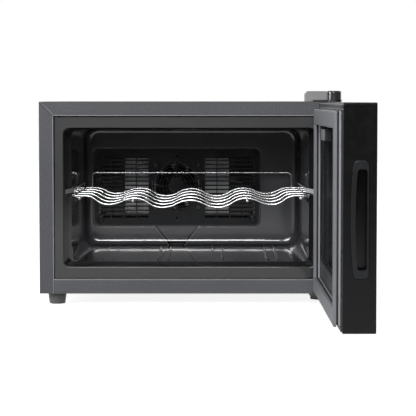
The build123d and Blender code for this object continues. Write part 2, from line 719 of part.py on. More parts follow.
def door_gasket():
    outer = (-217.0, 205.5, 25.6, 293.0)
    layers = ((0.0, 22.0, -10.0, -6.4, 3.0), (-2.6, 16.8, -6.4, -4.0, 2.4),
              (0.0, 22.0, -4.0, GASKET_FACE_Y, 3.0))
    body = band(outer, *layers[0])
    for layer in layers[1:]:
        body += band(outer, *layer)
    front = body.edges().group_by(Axis.Y)[-1]
    return fillet(front, 1.1)


def door_light_housing():
    body = block(-20.0, 40.0, -10.0, -1.9, 251.8, 266.6)
    return fillet(body.edges().filter_by(Axis.Y), 1.2)


def door_light_trim():
    body = block(-20.0, 40.0, -1.9, -0.9, 251.8, 266.6)
    return fillet(body.edges().filter_by(Axis.Y), 1.2)


def display_module():
    body = block(-110.0, 110.0, -48.9, -40.0, 252.0, 269.0)
    body = fillet(body.edges().filter_by(Axis.Y), 2.0)
    body -= block(-106.0, 106.0, -50.0, -47.4, 255.0, 266.0)
    return body


def display_lens():
    return block(-105.9, 105.9, -48.9, -47.5, 255.1, 265.9)


def hinge_bushes():
    tubes = []
    for z0, z1 in ((DOOR_Z1 - 17.0, DOOR_Z1), (DOOR_Z0, DOOR_Z0 + 17.0)):
        outer = post(PIVOT_X, PIVOT_Y, z0, z1, 6.98)
        tubes.append(outer - post(PIVOT_X, PIVOT_Y, z0 - 1, z1 + 1, PIN_R + BUSH_GAP))
    return tubes


# ---------------------------------------------------------------- hinges

def top_hinge_bracket():
    plan = Pos(199, 14) * RectangleRounded(44, 21, 3)
    plan += Pos(PIVOT_X, PIVOT_Y) * Circle(8.4)
    plan += Pos(PIVOT_X, (PIVOT_Y + 10) / 2) * Rectangle(13.0, 10 - PIVOT_Y)
    plate = Pos(0, 0, CAB_Z1) * extrude(plan, amount=3.0)
    plate -= post(PIVOT_X, PIVOT_Y, CAB_Z1 - 1, CAB_Z1 + 5, PIN_R + 0.02)
    for x, y in top_screw_points():
        plate -= post(x, y, CAB_Z1 - 1, CAB_Z1 + 5, 2.1)
    return plate


def top_screw_points():
    return ((184.0, 12.0), (196.0, 12.0))


def upright_screw(x, y, z, head_r, shaft_r, length, up):
    head = post(x, y, min(z, z + up * 2.2), max(z, z + up * 2.2), head_r)
    head = fillet(head.edges().group_by(Axis.Z)[-1 if up > 0 else 0], 0.9)
    tip = z - up * length
    return head + post(x, y, min(z, tip), max(z, tip), shaft_r)


def top_hinge_screws():
    return [upright_screw(x, y, CAB_Z1 + 3.0, 3.8, 1.9, 12.0, 1) for x, y in top_screw_points()]


def top_hinge_pin():
    head = post(PIVOT_X, PIVOT_Y, CAB_Z1 + 3.0, CAB_Z1 + 5.4, 6.4)
    head = fillet(head.edges().group_by(Axis.Z)[-1], 1.0)
    return head + post(PIVOT_X, PIVOT_Y, DOOR_Z1 - 15.0, CAB_Z1 + 3.2, PIN_R)


def top_hinge_cover():
    corners = ((171.6, 304.3), (171.6, 315.6), (175.4, 319.6), (203.4, 319.6), (203.4, 304.3))
    side = Polyline(*corners, close=True)
    body = extrude(upright(0.6) * make_face(side), amount=26.4, dir=(0, 1, 0))
    top = [e for e in body.edges() if e.center().Z > 315.0 and e.center().X < 203.3]
    body = fillet(top, 0.8)
    return body - block(173.4, 204.0, 2.4, 25.2, 304.0, 317.8)


def top_hinge_knuckle():
    plan = Pos(PIVOT_X, PIVOT_Y) * Circle(11.0)
    plan += plain_rect(203.7, 222.9, PIVOT_Y, 27.0)
    body = Pos(0, 0, CAB_Z1 + 0.3) * extrude(plan, amount=15.6)
    body = fillet(body.edges().group_by(Axis.Z)[-1], 2.4)
    room = Pos(PIVOT_X, PIVOT_Y) * Circle(9.4)
    room += plain_rect(205.2, 221.4, PIVOT_Y, 25.2)
    body -= Pos(0, 0, CAB_Z1 - 1) * extrude(room, amount=14.0)
    return body - block(203.0, 206.0, 3.2, 24.8, CAB_Z1, CAB_Z1 + 3.2)


def bracket_plan(inset):
    g = inset
    outline = [(179.0 + g, 46.0 - g), (179.0 + g, 0.0), (186.0 + g, -6.0), (194.0 + g, -15.0),
               (201.5 + g, -26.0), (203.4 + g, PIVOT_Y), (220.6 - g, PIVOT_Y), (224.2 - g, 0.0),
               (224.2 - g, 46.0 - g)]
    plan = make_face(Polyline(*outline, close=True))
    return plan + Pos(PIVOT_X, PIVOT_Y) * Circle(8.6 - g)


def bottom_hinge_bracket():
    plate = Pos(0, 0, CAB_Z0 - 3.0) * extrude(bracket_plan(0.0), amount=3.0)
    plate -= post(PIVOT_X, PIVOT_Y, CAB_Z0 - 4, CAB_Z0 + 1, PIN_R + 0.02)
    plate -= post(FOOT_RIGHT[0], FOOT_RIGHT[1], CAB_Z0 - 4, CAB_Z0 + 1, 4.6)
    for x, y in bottom_screw_points():
        plate -= post(x, y, CAB_Z0 - 4, CAB_Z0 + 1, 2.1)
    return plate


def bottom_screw_points():
    return ((184.0, 36.0), (196.0, 36.0))


def bottom_hinge_screws():
    return [upright_screw(x, y, CAB_Z0 - 3.0, 3.8, 1.9, 3.0, -1) for x, y in bottom_screw_points()]


def bottom_hinge_pin():
    head = post(PIVOT_X, PIVOT_Y, CAB_Z0 - 5.0, CAB_Z0 - 3.0, 6.4)
    return head + post(PIVOT_X, PIVOT_Y, CAB_Z0 - 3.2, DOOR_Z0 + 15.0, PIN_R)


def hinge_washer():
    ring = post(PIVOT_X, PIVOT_Y, CAB_Z0, CAB_Z0 + 0.65, 7.6)
    return ring - post(PIVOT_X, PIVOT_Y, CAB_Z0 - 1, CAB_Z0 + 2, PIN_R + 0.02)


def bottom_hinge_cover():
    plan = bracket_plan(1.2) - plain_rect(170, 230, 4.0, 60)
    body = Pos(0, 0, CAB_Z0 - 8.4) * extrude(plan, amount=5.4)
    body -= post(PIVOT_X, PIVOT_Y, CAB_Z0 - 5.4, CAB_Z0, 6.7)
    return fillet(body.edges().group_by(Axis.Z)[0], 1.2)


# ---------------------------------------------------------------- feet

def levelling_foot(x, y, top):
    body = Cone(FOOT_BASE_R, FOOT_R, top, align=(Align.CENTER, Align.CENTER, Align.MIN))
    body = fillet(body.edges().group_by(Axis.Z)[0], 1.2)
    for n in range(24):
        groove = Rot(0, 0, 15.0 * n) * Pos(FOOT_R + 0.6, 0, top / 2 + 3.0) * Cylinder(1.2, top)
        body -= groove
    body += Pos(0, 0, (top + 26.0) / 2 - 0.5) * Cylinder(PIN_R, 26.0 - top + 1.0)
    return Pos(x, y, 0) * body


def nodes():
    return {
        "cabinet_wrap": cabinet_wrap(),
        "base_pan": base_pan(),
        "rear_panel": rear_panel(),
        "rear_panel_screws": rear_panel_screws(),
        "wall_spacers": [wall_spacer(-180.0), wall_spacer(180.0)],
        "rear_feet": [rear_foot(-196.0), rear_foot(196.0)],
        "bulkhead": bulkhead(),
        "inner_liner": inner_liner(),
        "foam_insulation": foam_insulation(),
        "lamp_lens": lamp_lens(),
        "evaporator_cover": evaporator_cover(),
        "cover_caps": cover_caps(),
        "inner_fan_frame": fan_frame(40.0, 330.0, 15.0, 38.0, 35.75, 1),
        "inner_fan_screws": fan_screws(COVER_Y, 35.75, 12.0, -1),
        "inner_fan_rotor": fan_rotor(331.4, 10.8, 15.5, 36.6, 9, 30, 20.0, 1),
        "cold_sink": cold_sink(),
        "cold_block": pad(361.0, 385.2),
        "peltier_module": pad(385.2, 388.8),
        "hot_sink": hot_sink(),
        "clamp_screws": clamp_screws(),
        "outer_fan_frame": fan_frame(46.0, 429.0, 25.0, 43.6, 41.25, -1),
        "outer_fan_rotor": fan_rotor(432.0, 20.0, 19.0, 42.2, 7, 38, 17.0, -1),
        "outer_fan_screws": fan_screws(CAB_D + 3.0, 41.25, 20.0, 1),
        "rear_fan_guard": rear_fan_guard(),
        "circuit_board": circuit_board(),
        "board_standoffs": board_standoffs(),
        "board_transformer": board_transformer(),
        "board_capacitors": board_capacitors(),
        "board_heatsink": board_heatsink(),
        "power_inlet": power_inlet(),
        "inlet_pins": inlet_pins(),
        "rack_waves": wave_wires(),
        "rack_side_rods": side_rods(),
        "rack_runners": runner_rods(),
        "rack_fence": rack_fence(),
        "door_frame": swing(door_frame()),
        "door_outer_glass": swing(door_outer_glass()),
        "door_inner_frame": swing(door_inner_frame()),
        "door_inner_glass": swing(door_inner_glass()),
        "door_gasket": swing(door_gasket()),
        "handle_insert": swing(handle_insert()),
        "door_light_housing": swing(door_light_housing()),
        "door_light_trim": swing(door_light_trim()),
        "display_module": swing(display_module()),
        "display_lens": swing(display_lens()),
        "hinge_bushes": [swing(tube) for tube in hinge_bushes()],
        "top_hinge_bracket": top_hinge_bracket(),
        "top_hinge_pin": top_hinge_pin(),
        "top_hinge_screws": top_hinge_screws(),
        "top_hinge_cover": top_hinge_cover(),
        "top_hinge_knuckle": top_hinge_knuckle(),
        "bottom_hinge_bracket": bottom_hinge_bracket(),
        "bottom_hinge_pin": bottom_hinge_pin(),
        "bottom_hinge_screws": bottom_hinge_screws(),
        "hinge_washer": hinge_washer(),
        "bottom_hinge_cover": bottom_hinge_cover(),
        "front_left_foot": levelling_foot(FOOT_LEFT[0], FOOT_LEFT[1], 16.4),
        "front_right_foot": levelling_foot(FOOT_RIGHT[0], FOOT_RIGHT[1], 13.6),
    }


os.makedirs("parts", exist_ok=True)
for name, shape in nodes().items():
    if isinstance(shape, list):
        shape = Compound(children=[solid for piece in shape for solid in piece.solids()])
    export_step(shape, f"parts/{name}.step")
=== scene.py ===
import json
import math

import bmesh
import bpy
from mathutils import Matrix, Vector


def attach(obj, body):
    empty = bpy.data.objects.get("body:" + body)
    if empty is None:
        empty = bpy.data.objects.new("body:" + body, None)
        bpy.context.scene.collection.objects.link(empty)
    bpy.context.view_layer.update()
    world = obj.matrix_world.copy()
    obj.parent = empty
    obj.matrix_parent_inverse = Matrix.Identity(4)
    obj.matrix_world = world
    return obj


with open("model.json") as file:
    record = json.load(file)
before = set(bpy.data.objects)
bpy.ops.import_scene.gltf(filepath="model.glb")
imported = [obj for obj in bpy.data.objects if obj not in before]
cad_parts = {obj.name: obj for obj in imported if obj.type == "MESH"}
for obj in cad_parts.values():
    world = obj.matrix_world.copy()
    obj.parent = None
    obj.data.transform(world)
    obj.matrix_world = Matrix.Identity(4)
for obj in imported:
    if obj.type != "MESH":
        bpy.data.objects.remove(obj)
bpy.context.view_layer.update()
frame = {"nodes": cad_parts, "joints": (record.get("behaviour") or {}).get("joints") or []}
nodes = frame["nodes"]
scene = bpy.context.scene


# ------------------------------------------------------------------ places, in metres in the row frame

def box(name):
    """The low and the high corner of a CAD node."""
    spots = [v.co for v in nodes[name].data.vertices]
    return (Vector([min(p[k] for p in spots) for k in range(3)]),
            Vector([max(p[k] for p in spots) for k in range(3)]))


# the casing's front flange, beside and above its opening
FLANGE_SIDE = 0.0215
FLANGE_HEAD = 0.0213

casing_side = box("cabinet_wrap")[1].x
casing_top = box("cabinet_wrap")[1].z
opening_x = casing_side - FLANGE_SIDE
opening_top = casing_top - FLANGE_HEAD
strip_top = box("base_pan")[1].z
liner_face = box("inner_liner")[0].y
cover_low, cover_high = box("evaporator_cover")
cover_x = (cover_low.x + cover_high.x) / 2
back_wall = cover_low.y - 0.0005
gasket_face = box("door_gasket")[0].x
door_rim_top = box("door_inner_frame")[1].z
handle_rim = box("handle_insert")[0].y
hinge_x, hinge_y = [j for j in frame["joints"] if j["name"] == "door_swing"][0]["pos_m"][:2]

# the back wall's V-shaped panel: half its width and the height there, at its foot and at its top
PANEL_FOOT = (0.009, 0.06)
PANEL_TOP = (0.0385, 0.098)

# the cavity: the height up to which its floor counts, and how deep its narrower mouth is; the liner paints
# shade on both by making them darker
CAVITY_FLOOR = 0.0655
MOUTH_DEPTH = 0.05

# ledge strips that paint the highlight on the ledges' tops, in plan on the left: a tall one in front and a
# thin one behind it
TALL_STRIP = ((-0.186, 0.008), (-0.1762, 0.051), (-0.1758, 0.0509), (-0.1856, 0.0079))
THIN_STRIP = ((-0.176, 0.0514), (-0.1722, 0.216), (-0.1718, 0.216), (-0.1756, 0.0513))
STRIP_TOP = 0.1728
TALL_STRIP_FOOT = 0.1662
THIN_STRIP_FOOT = 0.1714

# the black plate under the hinge that paints the shade in the gap below the cover: its round end, its far
# end and how far it stands over the casing
SHADE_PLATE_R = 0.0117
SHADE_PLATE_END = 0.183
SHADE_PLATE_T = 0.0026

SEAM_BLACK = (0.006, 0.006, 0.007)
# a painted highlight: the paler colour of the flange's inner hem edges and of the line beside the mitre
EDGE_HIGHLIGHT_PAINT = (0.3, 0.305, 0.32)


# ------------------------------------------------------------------ materials

class Mat:
    """A Principled material with short helpers for its nodes. Coordinates are metres in the row frame."""

    def __init__(self, name, color, rough, metallic=0.0, **sockets):
        self.m = bpy.data.materials.new(name)
        self.m.use_nodes = True
        self.nt = self.m.node_tree
        self.bsdf = self.nt.nodes["Principled BSDF"]
        self.bsdf.inputs["Base Color"].default_value = (*color, 1.0)
        self.bsdf.inputs["Roughness"].default_value = rough
        self.bsdf.inputs["Metallic"].default_value = metallic
        for key, value in sockets.items():
            self.bsdf.inputs[key.replace("_", " ")].default_value = value
        self.coord = self.nt.nodes.new("ShaderNodeTexCoord")

    def node(self, kind, **inputs):
        n = self.nt.nodes.new(kind)
        for key, value in inputs.items():
            n.inputs[key.replace("_", " ")].default_value = value
        return n

    def link(self, a, b):
        self.nt.links.new(a, b)

    def place(self, stretch=(1, 1, 1)):
        n = self.nt.nodes.new("ShaderNodeMapping")
        n.inputs["Scale"].default_value = stretch
        self.link(self.coord.outputs["Object"], n.inputs["Vector"])
        return n.outputs["Vector"]

    def noise(self, scale, detail=2.0, stretch=(1, 1, 1), rough=0.5):
        n = self.node("ShaderNodeTexNoise", Scale=scale, Detail=detail, Roughness=rough)
        self.link(self.place(stretch), n.inputs["Vector"])
        return n.outputs["Fac"]

    def cells(self, scale, feature):
        n = self.node("ShaderNodeTexVoronoi", Scale=scale)
        n.feature = feature
        self.link(self.place(), n.inputs["Vector"])
        return n.outputs["Distance"]

    def span(self, value, low, high, to_low, to_high):
        n = self.node("ShaderNodeMapRange")
        n.inputs["From Min"].default_value = low
        n.inputs["From Max"].default_value = high
        n.inputs["To Min"].default_value = to_low
        n.inputs["To Max"].default_value = to_high
        self.link(value, n.inputs["Value"])
        return n.outputs["Result"]

    def mix(self, fac, a, b):
        n = self.nt.nodes.new("ShaderNodeMix")
        n.data_type = "RGBA"
        for key, value in (("A", a), ("B", b)):
            sock = [s for s in n.inputs if s.name == key and s.type == "RGBA"][0]
            if isinstance(value, tuple):
                sock.default_value = (*value, 1.0)
            else:
                self.link(value, sock)
        self.link(fac, n.inputs["Factor"])
        return [s for s in n.outputs if s.type == "RGBA"][0]

    def math(self, op, a, b=0.0):
        n = self.nt.nodes.new("ShaderNodeMath")
        n.operation = op
        for i, value in enumerate((a, b)):
            if isinstance(value, (int, float)):
                n.inputs[i].default_value = value
            else:
                self.link(value, n.inputs[i])
        return n.outputs[0]

    def times(self, a, b):
        return self.math("MULTIPLY", a, b)

    def most(self, *values):
        top = values[0]
        for value in values[1:]:
            top = self.math("MAXIMUM", top, value)
        return top

    def line(self, value, at, half, soft=0.0004):
        """1 where a value is within half of a place, fading to 0 over soft."""
        gap = self.math("ABSOLUTE", self.math("SUBTRACT", value, at))
        return self.span(gap, half, half + soft, 1, 0)

    def band(self, value, rise, fall):
        """1 between a rise and a fall, each given as where it starts and ends."""
        return self.times(self.span(value, *rise, 0, 1), self.span(value, *fall, 1, 0))

    def drift(self, scale, detail, low, high):
        """A slow change between two colours."""
        return self.mix(self.span(self.noise(scale, detail), 0.35, 0.65, 0, 1), low, high)

    def paint(self):
        """What feeds the base colour so far."""
        return self.bsdf.inputs["Base Color"].links[0].from_socket

    def axis(self, name):
        n = self.nt.nodes.new("ShaderNodeSeparateXYZ")
        self.link(self.coord.outputs["Object"], n.inputs[0])
        return n.outputs[name]

    def color(self, value):
        self.link(value, self.bsdf.inputs["Base Color"])

    def rough(self, value):
        self.link(value, self.bsdf.inputs["Roughness"])

    def bump(self, height, strength, distance):
        n = self.node("ShaderNodeBump", Strength=strength, Distance=distance)
        self.link(height, n.inputs["Height"])
        before = self.bsdf.inputs["Normal"].links
        if before:
            self.link(before[0].from_socket, n.inputs["Normal"])
        self.link(n.outputs["Normal"], self.bsdf.inputs["Normal"])


def tone(color, factor):
    """A lighter or darker version of a colour."""
    return tuple(min(1.0, v * factor) for v in color)


def powder_coat(name, color, rough, grain=900.0, depth=0.0001, contrast=0.3):
    """Textured baked paint on sheet steel: fine stipple with a slow drift in tone."""
    m = Mat(name, color, rough)
    fine = m.noise(grain, 3.0)
    slow = m.noise(9.0, 2.0)
    fleck = m.noise(grain * 0.42, 4.0, rough=0.7)
    shade = m.math("ADD", m.times(fleck, 0.75), m.times(slow, 0.25))
    m.color(m.mix(m.span(shade, 0.36, 0.64, 0, 1), tone(color, 1 - contrast), tone(color, 1 + contrast)))
    m.rough(m.span(fine, 0.3, 0.7, rough - 0.06, rough + 0.07))
    m.bump(fine, 0.35, depth)
    m.bump(m.cells(grain * 0.5, "SMOOTH_F1"), 0.18, depth * 1.4)
    return m


def sheet_paint(m):
    """Adds what folded sheet shows: dark mitre and butt seams, and painted highlights: paler colour along
    the inner hem edges and beside the mitre.
    """
    across = m.math("ABSOLUTE", m.axis("X"))
    up = m.axis("Z")
    front = m.span(m.axis("Y"), 0.002, 0.003, 1, 0)
    above = m.span(up, opening_top - 0.0002, opening_top + 0.0002, 0, 1)
    below = m.span(up, strip_top - 0.0001, strip_top + 0.0003, 1, 0)
    beside = m.span(across, opening_x + 0.0002, opening_x + 0.0006, 1, 0)
    slant = m.math("SUBTRACT", m.math("SUBTRACT", across, opening_x), m.math("SUBTRACT", up, opening_top))
    mitre = m.times(m.line(slant, 0.0, 0.0005), above)
    mitre_highlight = m.times(m.line(slant, -0.0015, 0.0003), above)
    butt = m.times(m.line(across, opening_x, 0.0003, 0.0003), below)
    side = m.times(m.line(across, opening_x + 0.0006, 0.0003),
                   m.span(up, opening_top + 0.0003, opening_top + 0.0007, 1, 0))
    head = m.times(m.line(up, opening_top + 0.0006, 0.0003), beside)
    sill = m.times(m.line(up, strip_top - 0.0005, 0.0004),
                   m.span(across, opening_x - 0.0003, opening_x + 0.0001, 1, 0))
    # painted highlights: the hem edges and the line beside the mitre are made paler
    painted_edge_highlight = m.mix(m.times(m.most(side, head, sill, mitre_highlight), front), m.paint(), EDGE_HIGHLIGHT_PAINT)
    m.color(m.mix(m.times(m.most(mitre, butt), front), painted_edge_highlight, SEAM_BLACK))
    return m


def moulded(name, color, rough, grain=1400.0, depth=0.00004, contrast=0.08, peel=0.015, **sockets):
    """Moulded plastic: fine spark grain, faint flow in the tone, and slight waviness of the surface."""
    m = Mat(name, color, rough, **sockets)
    m.color(m.drift(14.0, 3.0, tone(color, 1 - contrast), tone(color, 1 + contrast)))
    rub = m.noise(60.0, 5.0, rough=0.65)
    m.rough(m.span(rub, 0.3, 0.7, max(rough - 0.05, 0.02), rough + 0.06))
    m.bump(m.noise(20.0, 1.0), peel, 0.0003)
    m.bump(m.noise(grain, 2.0), 0.2, depth)
    return m


def metal(name, color, rough, brush=None, depth=0.00003, spread=0.05):
    """Bare or plated metal; brush stretches the grain along an axis."""
    m = Mat(name, color, rough, metallic=1.0)
    if brush:
        lines = m.noise(900.0, 4.0, stretch=brush, rough=0.7)
    else:
        lines = m.noise(220.0, 5.0, rough=0.6)
    m.rough(m.span(lines, 0.3, 0.7, max(rough - spread, 0.02), rough + spread))
    m.color(m.mix(m.span(lines, 0.3, 0.7, 0, 1), tone(color, 0.94), tone(color, 1.04)))
    m.bump(lines, 0.15, depth)
    return m


def panel_marks(m):
    """The back wall's V-shaped panel: painted shade along its sides and under its head, and a painted
    highlight on its crest.
    """
    run = m.math("ABSOLUTE", m.math("SUBTRACT", m.axis("X"), cover_x))
    wide = PANEL_TOP[0] - PANEL_FOOT[0]
    tall = PANEL_TOP[1] - PANEL_FOOT[1]
    length = math.hypot(wide, tall)
    lean = m.math("SUBTRACT", m.times(m.math("SUBTRACT", run, PANEL_FOOT[0]), tall / length),
                  m.times(m.math("SUBTRACT", m.axis("Z"), PANEL_FOOT[1]), wide / length))
    wall = m.times(m.span(m.axis("Y"), back_wall - 0.013, back_wall - 0.011, 0, 1),
                   m.span(m.axis("Z"), PANEL_TOP[1] - 0.0005, PANEL_TOP[1] + 0.0005, 1, 0))
    # painted shade in the troughs along the panel's sides
    trough = m.band(lean, (-0.0024, -0.0016), (0.0, 0.0006))
    head = m.span(m.axis("Z"), PANEL_TOP[1] - 0.0045, PANEL_TOP[1] - 0.0025, 0, 1)
    shade = m.times(head, m.span(lean, -0.0024, -0.0016, 1, 0))
    # a painted highlight along the panel's crest
    crest = m.band(lean, (0.0004, 0.0008), (0.0013, 0.0019))
    return m.times(m.most(trough, shade), wall), m.times(crest, wall)


def liner_plastic():
    """Vacuum-formed black sheet: gloss in the cavity, finer satin grain on the flat front flange. The
    cavity's floor, its mouth, the front flange, the V panel's groove and the recess behind the cover are
    painted darker as shade.
    """
    m = Mat("liner_gloss", (0.07, 0.07, 0.074), 0.14,
            Specular_IOR_Level=0.5, Coat_Weight=0.9, Coat_Roughness=0.06)
    y = m.axis("Y")
    front = m.span(y, liner_face + 0.0004, liner_face + 0.0024, 1, 0)
    mouth = m.span(y, MOUTH_DEPTH, MOUTH_DEPTH + 0.003, 1, 0)
    # painted shade: the cavity's floor is made darker
    bottom = m.span(m.axis("Z"), CAVITY_FLOOR - 0.0007, CAVITY_FLOOR + 0.0007, 1, 0)
    walls = m.drift(11.0, 3.0, (0.08, 0.081, 0.089), (0.093, 0.094, 0.104))
    look = m.mix(bottom, walls, (0.024, 0.0245, 0.026))
    # painted shade: the V panel's groove and the recess behind the cover are made almost black
    groove = m.band(y, (back_wall + 0.0004, back_wall + 0.001), (back_wall + 0.0026, back_wall + 0.003))
    recess = m.span(y, back_wall + 0.0045, back_wall + 0.006, 0, 1)
    look = m.mix(m.most(groove, recess), look, (0.006, 0.006, 0.007))
    # painted shade on the V panel's sides and under its head, and a painted highlight on its crest
    dark, bright = panel_marks(m)
    look = m.mix(dark, look, (0.003, 0.003, 0.0035))
    look = m.mix(bright, look, (0.2, 0.2, 0.215))
    # painted shade: the cavity's narrower mouth is made darker
    look = m.mix(mouth, look, (0.01, 0.01, 0.011))
    # painted shade: the flat front flange is made darker than the cavity's walls
    m.color(m.mix(front, look, (0.017, 0.0174, 0.019)))
    smudge = m.span(m.noise(26.0, 5.0, rough=0.65), 0.3, 0.7, 0.15, 0.19)
    polish = m.math("ADD", m.times(mouth, -0.03), m.times(front, 0.25))
    m.rough(m.math("ADD", smudge, polish))
    m.bump(m.noise(16.0, 1.0), 0.02, 0.0003)
    m.bump(m.times(m.noise(1500.0, 2.0), front), 0.2, 0.00003)
    return m


def rubber(name, color, rough):
    """Soft rubber or foam, dusty and slightly uneven."""
    m = Mat(name, color, rough)
    dust = m.noise(90.0, 6.0, rough=0.7)
    m.color(m.mix(m.span(dust, 0.35, 0.7, 0, 1), tone(color, 0.9), tone(color, 1.12)))
    m.rough(m.span(dust, 0.3, 0.7, rough - 0.06, rough + 0.08))
    m.bump(m.noise(1100.0, 2.0), 0.25, 0.00006)
    return m


def folded_gasket():
    """Grey bellows gasket: its sealing face and ridge are painted paler as highlights; the fold between them
    and the foot are painted dark as shade.
    """
    m = rubber("gasket_rubber", (0.14, 0.146, 0.158), 0.5)
    depth = m.math("SUBTRACT", m.axis("X"), gasket_face)
    side = m.band(depth, (0.0003, 0.0008), (0.0031, 0.0036))
    ridge = m.band(depth, (0.0059, 0.0063), (0.0082, 0.0086))
    fold = m.band(depth, (0.0034, 0.0037), (0.0059, 0.0062))
    foot = m.span(depth, 0.0084, 0.0088, 0, 1)
    # painted highlights on the sealing face and the ridge, painted shade in the fold and at the foot
    face = m.mix(side, m.paint(), (0.2, 0.207, 0.222))
    face = m.mix(ridge, face, (0.33, 0.34, 0.36))
    m.color(m.mix(m.most(fold, foot), face, (0.007, 0.007, 0.008)))
    return m


def ribbed_edge():
    """Dark inner frame of the door; its thin rib and outer edge carry painted highlights."""
    m = moulded("door_inner_plastic", (0.026, 0.027, 0.03), 0.3)
    edge = m.line(m.axis("Z"), door_rim_top - 0.0006, 0.0004)
    rib = m.line(m.axis("Z"), door_rim_top - 0.0067, 0.0005)
    # painted highlights along the rib and the outer edge
    m.color(m.mix(m.most(edge, rib), m.paint(), (0.24, 0.24, 0.245)))
    return m


def film(name, tint, rough, cover):
    """A thin dark pane: a reflecting film that covers part of what lies behind it."""
    m = Mat(name, tint, rough, Alpha=cover)
    haze = m.noise(18.0, 5.0, rough=0.6)
    m.rough(m.span(haze, 0.4, 0.8, rough, rough + 0.05))
    m.color(m.mix(m.span(haze, 0.3, 0.7, 0, 1), tone(tint, 0.9), tone(tint, 1.1)))
    return m


def handle_satin():
    """Satin grey bezel; the pocket behind its rim is painted almost black as shade."""
    m = Mat("handle_satin", (0.012, 0.013, 0.015), 0.24, Specular_IOR_Level=0.4)
    deep = m.span(m.axis("Y"), handle_rim + 0.0018, handle_rim + 0.0028, 0, 1)
    bezel = m.drift(14.0, 3.0, (0.01, 0.011, 0.013), (0.013, 0.014, 0.016))
    # painted shade: the pocket behind the rim is made almost black
    m.color(m.mix(deep, bezel, (0.001, 0.001, 0.0012)))
    m.rough(m.math("ADD", m.span(m.noise(60.0, 5.0), 0.3, 0.7, 0.2, 0.28), m.times(deep, -0.1)))
    m.bump(m.noise(1800.0, 2.0), 0.2, 0.00006)
    return m


def circuit():
    """Green board with the outlines of its copper areas."""
    m = Mat("board_green", (0.02, 0.13, 0.05), 0.35)
    tracks = m.cells(260.0, "DISTANCE_TO_EDGE")
    m.color(m.mix(m.span(tracks, 0.05, 0.09, 1, 0), (0.015, 0.11, 0.04), (0.05, 0.22, 0.08)))
    m.bump(tracks, 0.2, 0.0001)
    return m


casing = sheet_paint(powder_coat("casing_paint", (0.066, 0.068, 0.076), 0.44))
pan_paint = sheet_paint(powder_coat("pan_paint", (0.082, 0.084, 0.094), 0.44))
liner = liner_plastic()
rear_paint = powder_coat("rear_paint", (0.03, 0.03, 0.033), 0.5, grain=1100.0)
black_steel = powder_coat("bracket_paint", (0.012, 0.012, 0.013), 0.38, grain=1300.0, depth=0.00006)
grille = moulded("grille_plastic", (0.008, 0.0095, 0.0125), 0.17, peel=0.01, Specular_IOR_Level=0.35)
fan_plastic = moulded("fan_plastic", (0.006, 0.0065, 0.0075), 0.25, peel=0.01, Specular_IOR_Level=0.35)
black_plastic = moulded("black_plastic", (0.014, 0.014, 0.015), 0.42)
gloss_black = moulded("door_gloss", (0.0055, 0.0055, 0.0062), 0.2, peel=0.012, Specular_IOR_Level=0.28)
knuckle_gloss = moulded("knuckle_gloss", (0.05, 0.052, 0.06), 0.16, Coat_Weight=0.8, Coat_Roughness=0.05)
# a painted reflection: the hinge cover is a paler copy of dark plastic, standing in for the bright
# surroundings its face mirrors
cover_grey = moulded("cover_grey", (0.27, 0.27, 0.272), 0.45, contrast=0.05)
handle_grey = handle_satin()
door_inner = ribbed_edge()
gasket = folded_gasket()
foot_rubber = rubber("foot_rubber", (0.02, 0.02, 0.021), 0.7)
foot_plastic = moulded("foot_plastic", (0.085, 0.085, 0.087), 0.4)
chrome = metal("chrome_wire", (0.74, 0.745, 0.755), 0.22, depth=0.0000005, spread=0.02)
zinc = metal("zinc_plate", (0.62, 0.62, 0.6), 0.3)
dark_screw = metal("dark_screw", (0.05, 0.05, 0.052), 0.35)
hinge_steel = metal("hinge_steel", (0.5, 0.5, 0.5), 0.28, brush=(1, 1, 0.1))
fin_metal = metal("fin_aluminium", (0.32, 0.322, 0.33), 0.34, brush=(1, 0.15, 0.15))
brass = metal("pin_brass", (0.75, 0.55, 0.25), 0.22)
smoked = film("smoked_glass", (0.006, 0.0065, 0.008), 0.03, 0.9)
clear = film("inner_pane", (0.008, 0.01, 0.013), 0.03, 0.1)
lens = moulded("lens_plastic", (0.03, 0.031, 0.033), 0.25)
white_plastic = moulded("white_plastic", (0.6, 0.6, 0.58), 0.45)
trim_grey = moulded("trim_grey", (0.2, 0.21, 0.22), 0.4)
wedge_black = moulded("wedge_black", (0.005, 0.005, 0.005), 0.5, Specular_IOR_Level=0.3)
foam = rubber("foam_cream", (0.62, 0.55, 0.35), 0.9)
ceramic = moulded("peltier_ceramic", (0.8, 0.8, 0.77), 0.5)
coil = moulded("transformer_tape", (0.45, 0.3, 0.05), 0.45)
can = moulded("capacitor_sleeve", (0.015, 0.02, 0.08), 0.3)
board = circuit()
# pale strips that paint the highlight on the ledges' tops
ledge_highlight_grey = moulded("ledge_highlight_grey", (0.5, 0.505, 0.52), 0.3)
lip_pale = rubber("lip_rubber", (0.16, 0.166, 0.178), 0.45)
bead_black = rubber("bead_rubber", (0.012, 0.012, 0.013), 0.4)

